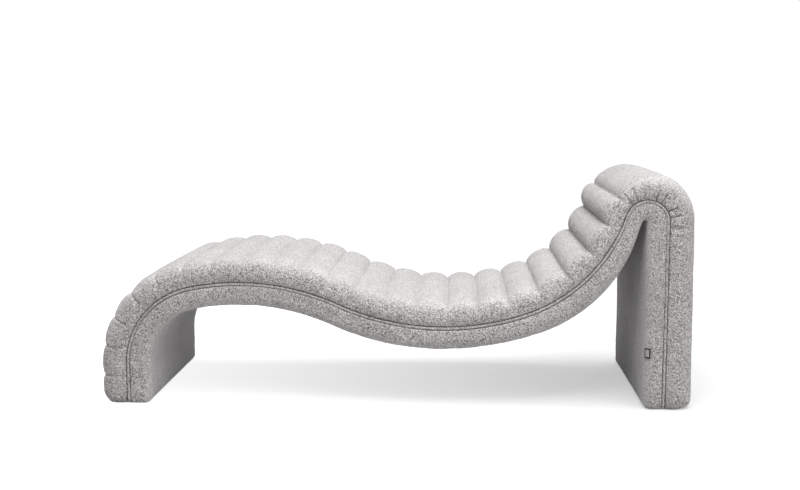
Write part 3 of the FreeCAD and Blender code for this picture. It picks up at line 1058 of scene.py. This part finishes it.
    def pins(self, rows: np.ndarray, columns: int) -> np.ndarray:
        """How firmly each point of the cloth is held: all round, and along the stitched lines."""
        held = np.zeros((len(rows), columns))
        stitched = np.flatnonzero(self.off_lines(rows) < TINY)
        held[stitched, self.flank_columns : columns - self.flank_columns] = 1.0
        held[:, [0, -1]] = 1.0
        held[[0, 1, -2, -1]] = 1.0
        return held

    def painted_light_mask(self, points: np.ndarray, height: np.ndarray) -> np.ndarray:
        """How much painted light each place takes: none on the flanks, most on the upward-facing tops of
        the channels, which are painted lighter and with less contrast as if washed out by the light from
        above.

        Args:
            points: Places of the surface, by row and column.
            height: Height of each place above the seam line.

        Returns:
            A share by row and column.
        """
        risen = np.clip((height - self.painted_light_from) / (self.painted_light_to - self.painted_light_from), 0.0, 1.0)
        upward = np.clip(self.painted_light_slope * outward(points)[..., 2] + self.painted_light_lean, 0.0, 1.0)
        return self.painted_light_share * risen * upward

    def detail(self, points: np.ndarray, rows: np.ndarray, height: np.ndarray) -> np.ndarray:
        """Adds the creases, the gathers at the head's seam and the pinch along the seams.

        Args:
            points: Places of the surface, by row and column.
            rows: Distances of the rows along the pitch line.
            height: Height of each place above the seam line.

        Returns:
            The finished places.
        """
        last, along, across = self.lines()[-1], rows[:, None], points[..., 1]
        off = self.off_lines(rows)[:, None]
        above = np.clip((height - self.crease_from) / self.crease_fade, 0.0, 1.0)
        creases = self.crease_depth * np.exp(-off / self.crease_width) * above

        outer = self.tuck_middle + (1.0 - self.tuck_middle) * (np.abs(across) / COVER_HALF) ** 4
        tucks = self.tuck.height * self.tuck.over(across, along) * np.exp(-off / self.tuck_reach) * outer

        margin = self.gather_margin
        leg = PITCH.ends()[Run.HEAD_LEG]
        around = window(rows, last + margin, leg + margin, self.gather_fade)[:, None]
        around = around * window(height, 0.0, *self.gather_rise)
        gathers = np.maximum(self.gather.over(along - last, along), 0.0) ** self.gather_sharpness
        knee = window(rows, *self.knee)[:, None] * window(height, 0.0, *self.knee_rise)
        knee_tucks = self.knee_tuck.height * self.knee_tuck.over(along, along) * knee

        pinched = self.pinch.beside(rows, height - SEAM_EDGE)
        push = tucks + knee_tucks - self.gather.height * gathers * around - creases - pinched
        push[:, [0, -1]] = -self.pinch.depth
        push[[0, -1]] = 0.0
        return points + outward(points) * push[..., None]

    def build(self, finish: bpy.types.Material) -> bpy.types.Object:
        """Models the cover and dresses it.

        Args:
            finish: Its material.

        Returns:
            The finished piece.
        """
        rows = self.rows()
        y, height = self.section(rows)
        places = PITCH.at(rows)[:, None, :]
        x, z = raised(np.broadcast_to(places, (*y.shape, 3)), height - PROFILE.pitch_height)
        points = np.stack([x, y, z], axis=-1)
        skin = wrapped_grid("quilted_skin", points)
        self.padding.fill(skin, self.pins(rows, y.shape[1]).ravel())
        fine = softened(skin, y.shape)
        fine_rows = with_middles(rows)
        fine_height = with_middles(height, (0, 1))
        fine = self.detail(fine, fine_rows, fine_height)
        left, right = ((side, SEAM_EDGE) for side in (-CORE_HALF, CORE_HALF))
        corners = (left, (-CORE_HALF, FOAM_TOP), (CORE_HALF, FOAM_TOP), right)
        inner = inner_corners(PITCH.at(fine_rows), -PROFILE.pitch_height, corners)
        piece = closed_shell("quilted_cover", fine, inner)
        raise_nap(piece, self.painted_light_mask(fine, fine_height))
        return hand_over(piece, finish, "channel_cover")


@dataclass
class UnderCover:
    """The plain lower cover: the under face, the lower flanks and the inner faces of both legs."""

    half: float = 0.3482
    edge_radius: float = UNDER_EDGE_RADIUS
    hem: float = 0.0125
    hem_height: float = 0.022
    hem_shares: tuple[float, ...] = (0.0, 0.12, 0.3, 0.6)
    under_knots: tuple[int, ...] = (0, 1, 2, 3, 4, 7, 8, 9)
    flank_columns: int = 5
    edge_columns: int = 5
    face_columns: int = 84
    tuck: Ripple = Ripple(0.0010, 0.0036, 1.5, 0.019)
    knee: tuple[float, float, float] = (0.05, 0.30, 0.05)
    knee_band: tuple[float, float] = (0.010, 0.016)
    head: tuple[float, float, float] = (-0.06, 0.05, 0.04)
    head_band: tuple[float, float] = (0.004, 0.010)
    head_share: float = 0.6
    face_share: float = 0.2
    pinch: Pinch = Pinch()
    padding: Padding = Padding(stretch=0.005)

    def rows(self) -> tuple[np.ndarray, np.ndarray]:
        """Distances of the rows along the seam line and along the under face's outline, run for run."""
        seam = SEAM.ends()
        under = UNDER.ends()[list(self.under_knots)]
        seam[0], under[0] = CLOTH_LIFT, CLOTH_LIFT
        seam[-1], under[-1] = seam[-1] - CLOTH_LIFT, under[-1] - CLOTH_LIFT
        hem_steps = self.hem_height * np.array(self.hem_shares)
        pairs = []
        for ends in (seam, under):
            parts = [ends[0] + hem_steps]
            begins = [ends[0] + self.hem_height, *ends[1:-1]]
            stops = [*ends[1:-1], ends[-1] - self.hem_height]
            for number, (begin, stop) in enumerate(zip(begins, stops)):
                count = max(round((seam[number + 1] - seam[number]) / ROW_STEP), 2)
                parts.append(np.linspace(begin, stop, count, endpoint=False))
            parts.append(ends[-1] - np.append(hem_steps, self.hem_height)[::-1])
            pairs.append(np.concatenate(parts))
        return pairs[0], pairs[1]

    def build(self, finish: bpy.types.Material) -> bpy.types.Object:
        """Models the cover and dresses it.

        Args:
            finish: Its material.

        Returns:
            The finished piece.
        """
        along, below = self.rows()
        seam_places, under_places = SEAM.at(along), UNDER.at(below)
        left = np.clip(1.0 - from_ends(along) / self.hem_height, 0.0, 1.0)
        tuck = self.hem * round_in(left)[:, None]
        top_x, top_z = raised(seam_places, -SEAM_EDGE)
        rim_x, rim_z = raised(under_places, self.edge_radius)
        down = np.linspace(0.0, 1.0, self.flank_columns, endpoint=False)[None, :]
        flank_x = top_x[:, None] + down * (rim_x - top_x)[:, None]
        flank_z = top_z[:, None] + down * (rim_z - top_z)[:, None]
        flank_y = np.full_like(flank_x, -self.half) + tuck
        turn = np.linspace(0.0, math.pi / 2.0, self.edge_columns, endpoint=False)[None, :]
        rise = self.edge_radius * (1.0 - np.sin(turn)) + tuck * np.sin(turn)
        edge_x, edge_z = raised(np.repeat(under_places[:, None], self.edge_columns, 1), rise)
        inner = self.half - self.edge_radius
        edge_y = -inner - (self.edge_radius - tuck) * np.cos(turn)
        face_y = np.linspace(-inner, inner, self.face_columns + 1)
        face_x, face_z = raised(np.repeat(under_places[:, None], len(face_y), 1), tuck)
        face_y = np.repeat(face_y[None, :], len(along), 0)
        sides = (
            (flank_x, edge_x, face_x, 1.0),
            (flank_y, edge_y, face_y, -1.0),
            (flank_z, edge_z, face_z, 1.0),
        )
        points = np.stack(
            [
                np.concatenate([flank, edge, face, sign * edge[:, ::-1], sign * flank[:, ::-1]], axis=1)
                for flank, edge, face, sign in sides
            ],
            axis=-1,
        )
        skin = wrapped_grid("under_skin", points)
        held = np.zeros(points.shape[:2])
        held[:, [0, -1]] = 1.0
        held[[0, 1, 2, -3, -2, -1]] = 1.0
        self.padding.fill(skin, held.ravel())
        fine = self.detail(softened(skin, points.shape[:2]), with_middles(along))
        fine_seam, fine_under = SEAM.at(with_middles(along)), UNDER.at(with_middles(below))
        upper = inner_corners(fine_seam, 0.0, ((-CORE_HALF, -SEAM_EDGE), (CORE_HALF, -SEAM_EDGE)))
        lower = inner_corners(fine_under, 0.0, ((-CORE_HALF, UNDER_WALL), (CORE_HALF, UNDER_WALL)))
        core = np.stack([upper[:, 1], lower[:, 1], lower[:, 0], upper[:, 0]], axis=1)
        piece = closed_shell("under_cover_cloth", fine, core)
        raise_nap(piece, np.repeat(self.painted_light_mask(fine.shape[1])[None, :], len(fine), 0))
        return hand_over(piece, finish, "under_cover")

    def painted_light_mask(self, columns: int) -> np.ndarray:
        """How much painted light each column of the finer surface takes: none on the flanks, all on the
        under face and the legs' inner faces, which are painted lighter and with less contrast to lift their
        shade.
        """
        flank = 2 * self.flank_columns
        share = np.clip((np.arange(columns) - flank) / (2.0 * self.edge_columns), 0.0, 1.0)
        return np.minimum(share, share[::-1])

    def detail(self, points: np.ndarray, along: np.ndarray) -> np.ndarray:
        """Adds the pinch along the seams and the small tucks inside the knee's and the head's seam.

        Args:
            points: Places of the surface, by row and column.
            along: Distances of the rows along the seam line.

        Returns:
            The finished places.
        """
        gap = np.linalg.norm(np.diff(points, axis=1), axis=-1)
        off = np.concatenate([np.zeros((len(points), 1)), np.cumsum(gap, axis=1)], axis=1)
        off = np.minimum(off, off[:, -1:] - off)
        knee_off, knee_reach = self.knee_band
        head_off, head_reach = self.head_band
        before, after, soft = self.head
        ends = SEAM.ends()
        knee = window(along, *self.knee)[:, None] * fade(off - knee_off, knee_reach)
        head = window(along, ends[Run.ROLL] + before, ends[Run.HEAD_LEG] + after, soft)[:, None]
        head = head * fade(off - head_off, head_reach)
        tucks = self.tuck.height * self.tuck.over(along, along)[:, None] * (knee + self.head_share * head)
        tucks[:, 2 * (self.flank_columns + self.edge_columns) : points.shape[1] // 2] *= self.face_share
        push = tucks - self.pinch.beside(along, off)
        push[:, [0, -1]] = -self.pinch.depth
        push[[0, 1, -2, -1]] = 0.0
        return points + outward(points) * push[..., None]


@dataclass
class SideSeam:
    """The flat seam between the two covers on one flank: a raised band of cloth between two rows of
    stitches."""

    side: Side
    reach: float = 0.0043
    proud: float = 0.3466
    root: float = 0.3310
    swell: float = 0.0022
    rough: Ripple = Ripple(0.0003, 0.0021, 2.0, 0.013)
    row_step: float = 0.004
    columns: int = 9
    hem: float = 0.012
    hem_height: float = 0.018
    stitch_length: float = 0.0056
    stitch_pitch: float = 0.0066
    stitch_ends: tuple[float, float] = (0.014, 0.020)
    stitch_off: float = 0.0008
    stitch_depth: float = 0.0020
    thread: float = 0.0008

    def band_rows(self) -> np.ndarray:
        """Distances of the band's rows along the seam line."""
        end = SEAM.ends()[-1] - CLOTH_LIFT
        return np.append(steps(CLOTH_LIFT, end, self.row_step), end)

    def hem_tuck(self, along: np.ndarray) -> np.ndarray:
        """How far the seam is drawn in at the floor."""
        return self.hem * np.clip(1.0 - from_ends(along) / self.hem_height, 0.0, 1.0) ** 2

    def build(self, finish: bpy.types.Material) -> bpy.types.Object:
        """Models the band.

        Args:
            finish: Its material.

        Returns:
            The finished piece.
        """
        along = self.band_rows()
        places = SEAM.at(along)[:, None, :]
        across = np.linspace(self.reach, -self.reach, self.columns)
        if self.side is Side.NEAR:
            across = across[::-1]
        rough = self.rough.height * self.rough.over(along, along)[:, None]
        bulge = self.swell * (1.0 - (across / self.reach) ** 4)[None, :]
        y = self.side.value * (self.proud - self.swell + bulge + rough - self.hem_tuck(along)[:, None])
        x, z = raised(np.repeat(places, len(across), 1), across[None, :] + 0.5 * rough)
        outer = np.stack([x, y, z], axis=-1)
        ends = ((self.side.value * self.root, across[-1]), (self.side.value * self.root, across[0]))
        inner = inner_corners(SEAM.at(along), 0.0, ends)
        word = self.side.name.lower()
        piece = closed_shell(f"seam_band_{word}", outer, inner)
        return hand_over(piece, finish, f"side_seam_{word}")

    def build_stitches(self, finish: bpy.types.Material) -> bpy.types.Object:
        """Models both rows of stitches as one piece of many threads, whose near-black finish stands in for
        the shade in the stitch rows: painted shade.

        Args:
            finish: Their material.

        Returns:
            The finished piece.
        """
        deselect()
        bpy.ops.mesh.primitive_uv_sphere_add(segments=6, ring_count=4, radius=1.0)
        bead = bpy.context.object
        shape = vertices(bead)
        faces = [list(face.vertices) for face in bead.data.polygons]
        bpy.data.objects.remove(bead)
        first, short = self.stitch_ends
        along = np.arange(CLOTH_LIFT + first, SEAM.ends()[-1] - short, self.stitch_pitch)
        places = SEAM.at(along)
        heading = places[:, 2]
        level = np.zeros_like(heading)
        forward = np.stack([np.cos(heading), level, np.sin(heading)], axis=-1)
        up = np.stack([-np.sin(heading), level, np.cos(heading)], axis=-1)
        out = np.array([0.0, 1.0, 0.0])
        y = self.side.value * (self.proud - self.stitch_depth - self.hem_tuck(along))
        points, polygons = [], []
        for row, height in enumerate((self.reach + self.stitch_off, -self.reach - self.stitch_off)):
            x, z = raised(places, height)
            centre = np.stack([x, y, z], axis=-1)
            made = (
                centre[:, None]
                + shape[None, :, :1] * forward[:, None] * self.stitch_length / 2.0
                + shape[None, :, 1:2] * out * self.thread
                + shape[None, :, 2:] * up[:, None] * self.thread
            )
            points.append(made.reshape(-1, 3))
            for number in range(row * len(along), (row + 1) * len(along)):
                polygons += [[corner + number * len(shape) for corner in face] for face in faces]
        word = self.side.name.lower()
        mesh = bpy.data.meshes.new(f"seam_stitches_{word}")
        mesh.from_pydata(np.concatenate(points).tolist(), [], polygons)
        piece = bpy.data.objects.new(mesh.name, mesh)
        bpy.context.scene.collection.objects.link(piece)
        take_up(piece)
        bpy.ops.object.mode_set(mode="EDIT")
        bpy.ops.mesh.select_all(action="SELECT")
        bpy.ops.mesh.normals_make_consistent(inside=False)
        bpy.ops.object.mode_set(mode="OBJECT")
        bpy.ops.object.shade_smooth()
        return hand_over(piece, finish)


@dataclass
class BlankLabel:
    """A bare woven label sewn round the near edge of the head leg's inner face."""

    width: float = 0.024
    height: float = 0.033
    bottom: float = 0.172
    radius: float = 0.0268
    middle: float = 225.0
    thickness: float = 0.0007
    edge_radius: float = UNDER_EDGE_RADIUS
    half: float = 0.3485
    rows: int = 19
    columns: int = 15
    lifted_ends: float = 0.0006
    warp: float = 0.0002
    warp_waves: tuple[float, float] = (9.0, 4.0)
    bevel: float = 0.0002

    def build(self, finish: bpy.types.Material) -> bpy.types.Object:
        """Models the label.

        Args:
            finish: Its material.

        Returns:
            The finished piece.
        """
        head_x = SEAM.last()[0] - PROFILE.head_leg_depth + self.edge_radius
        centre_y = -self.half + self.edge_radius
        spread = self.width / self.radius / 2.0
        up, across = shares(self.rows, self.columns)
        angle = math.radians(self.middle) + (1.0 - 2.0 * across) * spread
        lift = self.radius + self.lifted_ends * (2.0 * np.abs(up - 0.5)) ** 6
        lift = lift + self.warp * np.sin(self.warp_waves[0] * up + self.warp_waves[1] * across)
        x, y = head_x + lift * np.cos(angle), centre_y + lift * np.sin(angle)
        piece = wrapped_grid("bare_label", np.stack([x, y, self.bottom + up * self.height], axis=-1))
        apply(piece, "SOLIDIFY", thickness=self.thickness, offset=1.0)
        apply(piece, "BEVEL", width=self.bevel, segments=2, limit_method="ANGLE")
        take_up(piece)
        bpy.ops.object.shade_smooth_by_angle(angle=SMOOTH_ANGLE)
        return hand_over(piece, finish, "blank_tag")


@dataclass
class TopFoam:
    """The foam slab over the frame, under the channels."""

    half: float = 0.3285
    edge_radius: float = 0.010
    edge_columns: int = 5
    lift: float = 0.002
    row_step: float = 0.02

    def build(self, finish: bpy.types.Material) -> bpy.types.Object:
        """Models the slab.

        Args:
            finish: Its material.

        Returns:
            The finished piece.
        """
        end = SEAM.ends()[-1] - COVER_LIFT - self.lift
        along = np.append(steps(COVER_LIFT + self.lift, end, self.row_step), end)
        turn = np.linspace(0.0, math.pi / 2.0, self.edge_columns)
        y = self.half - self.edge_radius + self.edge_radius * np.cos(turn)
        height = FOAM_TOP - SOFT_GAP - self.edge_radius + self.edge_radius * np.sin(turn)
        y, height = np.append(y, -y[::-1]), np.append(height, height[::-1])
        x, z = raised(np.repeat(SEAM.at(along)[:, None], len(y), 1), height[None, :])
        outer = np.stack([x, np.repeat(y[None, :], len(along), 0), z], axis=-1)
        low = FOAM_BOTTOM + SOFT_GAP
        inner = inner_corners(SEAM.at(along), 0.0, ((-self.half, low), (self.half, low)))
        piece = closed_shell("foam_slab", outer, inner)
        return hand_over(piece, finish, "top_foam")


@dataclass
class DustSheet:
    """The thin black cloth stapled under one leg."""

    leg: Leg
    thickness: float = 0.0005
    sag: float = 0.0003
    sag_waves: tuple[float, float] = (23.0, 4.0)
    gap: float = 0.0003
    rows: int = 61
    columns: int = 13

    def build(self, finish: bpy.types.Material) -> bpy.types.Object:
        """Models the sheet.

        Args:
            finish: Its material.

        Returns:
            The finished piece.
        """
        word = self.leg.value
        node = f"{word}_dust_cover"
        low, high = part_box(node)
        width, length = high.x - low.x, high.y - low.y
        up, over = shares(self.rows, self.columns)
        dip = self.sag * np.sin(math.pi * up) * np.sin(math.pi * over)
        dip = dip * np.sin(self.sag_waves[0] * up + self.sag_waves[1] * over)
        x, y, z = low.x + over * width, low.y + up * length, high.z - self.gap - np.abs(dip)
        piece = wrapped_grid(f"{word}_dust_sheet", np.stack([x, y, z], axis=-1))
        apply(piece, "SOLIDIFY", thickness=self.thickness, offset=-1.0)
        take_up(piece)
        bpy.ops.object.shade_smooth_by_angle(angle=SMOOTH_ANGLE)
        hand_over(piece, finish, node)
        return piece


@dataclass(frozen=True)
class InnerFrame:
    """The nodes of the frame that stay as they are, with a finish for each kind by its name's end."""

    birch: tuple[Colour, Colour] = ((0.66, 0.49, 0.30, 1.0), (0.50, 0.33, 0.17, 1.0))
    pine: tuple[Colour, Colour] = ((0.72, 0.52, 0.30, 1.0), (0.52, 0.30, 0.13, 1.0))
    black: tuple[Colour, Colour] = (grey(0.03), grey(0.018))
    skin_grain: tuple[float, float, float] = (1.0, 0.06, 1.0)
    board_grain: tuple[float, float, float] = (0.08, 1.0, 1.0)
    plies: float = 330.0

    def dress(self) -> None:
        """Gives each node that still shows its finish."""
        bent = Grain("bent_birch", *self.birch, self.skin_grain).make()
        ply = Grain("birch_plywood", *self.birch, self.board_grain, plies=self.plies).make()
        rails = Grain("pine", *self.pine).make()
        nylon = Speckled("black_nylon", *self.black, 0.0006, 0.3, 0.45).make()
        kinds = {"skin": bent, "near": ply, "far": ply, "board": ply, "glides": nylon}
        for name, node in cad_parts.items():
            if node.hide_render:
                continue
            finish = kinds.get(name.split("_")[-1], rails)
            node.data.materials.clear()
            node.data.materials.append(finish)
            LOG.info("%s dressed as %s", name, finish.name)


@dataclass
class Studio:
    """The white room: floor, light and camera."""

    eye: tuple[float, float, float] = (0.1987, -4.0343, 1.0098)
    pitch: float = 82.75
    yaw: float = 2.728
    lens: float = 51.56
    floor_half: float = 30.0
    floor_colour: float = 0.47
    # White lift of the floor at the foot end and at the head end; its fall paints the floor's shadow darker
    # towards the head.
    floor_lift_and_painted_shade: tuple[float, float] = (0.84, 0.41)
    painted_shade_reach: tuple[float, float] = (-0.9, 1.1)
    sky: float = 0.30
    sun: float = 3.1
    sun_width: float = 50.0
    sun_front: float = 7.0
    sun_right: float = 3.0
    fill: float = 0.75
    fill_width: float = 40.0
    fill_turn: float = 58.0
    fill_tilt: float = 82.0
    panel: float = 9.0
    panel_size: float = 0.6
    panel_place: tuple[float, float, float] = (0.35, -1.35, 1.75)
    panel_tilt: float = 41.0

    def build_floor(self) -> None:
        """Lays the floor. To the camera it is lifted to white, and it keeps the shadow; the lift weakens
        from the foot end to the head end, which paints the shadow darker towards the head.
        """
        deselect()
        bpy.ops.mesh.primitive_plane_add(size=2.0 * self.floor_half)
        floor = bpy.context.object
        floor.name = "floor"
        board = Board("white_floor")
        rays = board.add("LightPath").outputs
        seen = board.maths("MAXIMUM", rays["Is Camera Ray"], rays["Is Glossy Ray"])
        seen = board.maths("MAXIMUM", seen, rays["Is Transmission Ray"])
        matt = board.add("BsdfDiffuse", {"Color": grey(self.floor_colour)})
        # The lift falls along X, so shadow on the floor is painted darker towards the head: painted shade.
        places = board.add("SeparateXYZ", {0: board.coordinates()}).outputs[0]
        strength = board.spread(places, *self.painted_shade_reach, *self.floor_lift_and_painted_shade)
        glow = board.add(
            "Emission", {"Color": grey(1.0), "Strength": board.maths("MULTIPLY", seen, strength)}
        )
        both = board.add("AddShader", {0: matt.outputs[0], 1: glow.outputs[0]})
        board.add("OutputMaterial", {"Surface": both.outputs[0]})
        floor.data.materials.append(board.owner)

    def hang(
        self, name: str, kind: str, energy: float, turns: tuple[float, float, float]
    ) -> bpy.types.Object:
        """Hangs one light.

        Args:
            name: Its name.
            kind: Its type.
            energy: How strong it is.
            turns: How far it is turned about X, Y and Z, in degrees.

        Returns:
            The light.
        """
        lamp = bpy.data.lights.new(name, kind)
        lamp.energy = energy
        light = bpy.data.objects.new(name, lamp)
        light.rotation_euler = [math.radians(turn) for turn in turns]
        bpy.context.scene.collection.objects.link(light)
        return light

    def build_light(self) -> None:
        """Hangs a broad light overhead, a weak one low at the right and a small panel in front of the
        seat, in a softly lit white room."""
        softbox = self.hang("softbox", "SUN", self.sun, (self.sun_front, self.sun_right, 0.0))
        softbox.data.angle = math.radians(self.sun_width)
        fill = self.hang("fill", "SUN", self.fill, (self.fill_tilt, 0.0, self.fill_turn))
        fill.data.angle = math.radians(self.fill_width)
        panel = self.hang("panel", "AREA", self.panel, (self.panel_tilt, 0.0, 0.0))
        panel.data.size = self.panel_size
        panel.location = self.panel_place
        board = Board("white_room", "worlds")
        rays = board.add("LightPath").outputs
        seen = board.maths("MAXIMUM", rays["Is Camera Ray"], rays["Is Glossy Ray"])
        strength = board.spread(seen, 0.0, 1.0, self.sky, 1.0)
        sky = board.add("Background", {"Color": grey(1.0), "Strength": strength}).outputs[0]
        board.add("OutputWorld", {"Surface": sky})
        bpy.context.scene.world = board.owner

    def build_camera(self) -> None:
        """Sets the camera where the photograph was taken from."""
        data = bpy.data.cameras.new("camera")
        data.lens = self.lens
        camera = bpy.data.objects.new("camera", data)
        camera.location = self.eye
        camera.rotation_euler = (math.radians(self.pitch), 0.0, math.radians(self.yaw))
        bpy.context.scene.collection.objects.link(camera)
        bpy.context.scene.camera = camera
        bpy.context.scene.view_settings.view_transform = "Standard"

    def build(self) -> None:
        """Builds the room, its light and the camera."""
        self.build_camera()
        self.build_floor()
        self.build_light()


def main() -> None:
    """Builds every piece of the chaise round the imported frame, in order, and reports each."""
    logging.basicConfig(level=logging.INFO, format="%(message)s")
    Studio().build()
    boucle = Boucle("boucle").make()
    # Near-black thread paints the shade that falls in the seam's stitch rows.
    thread = Speckled("thread_painted_shade", grey(0.12, 0.02), grey(0.06, 0.02), 0.0004, 0.4, 0.9).make()
    foam = Speckled("foam_rubber", (0.75, 0.68, 0.48, 1.0), (0.62, 0.52, 0.33, 1.0), 0.0012).make()
    dust = Woven("dust_cloth", grey(0.045), grey(0.02), (240.0, 1300.0)).make()
    label = Woven(
        "label_cloth", grey(0.50, 0.02), grey(0.34, 0.02), (60.0, 80.0), (0.19, 0.14), grey(0.015)
    ).make()
    made = [ChannelCover().build(boucle), UnderCover().build(boucle)]
    for side in Side:
        seam = SideSeam(side)
        made += [seam.build(boucle), seam.build_stitches(thread)]
    made.append(BlankLabel().build(label))
    made.append(TopFoam().build(foam))
    made += [DustSheet(leg).build(dust) for leg in Leg]
    InnerFrame().dress()
    for piece in made:
        LOG.info("%s has %d faces", piece.name, len(piece.data.polygons))
    deselect()


if __name__ == "__main__":
    main()
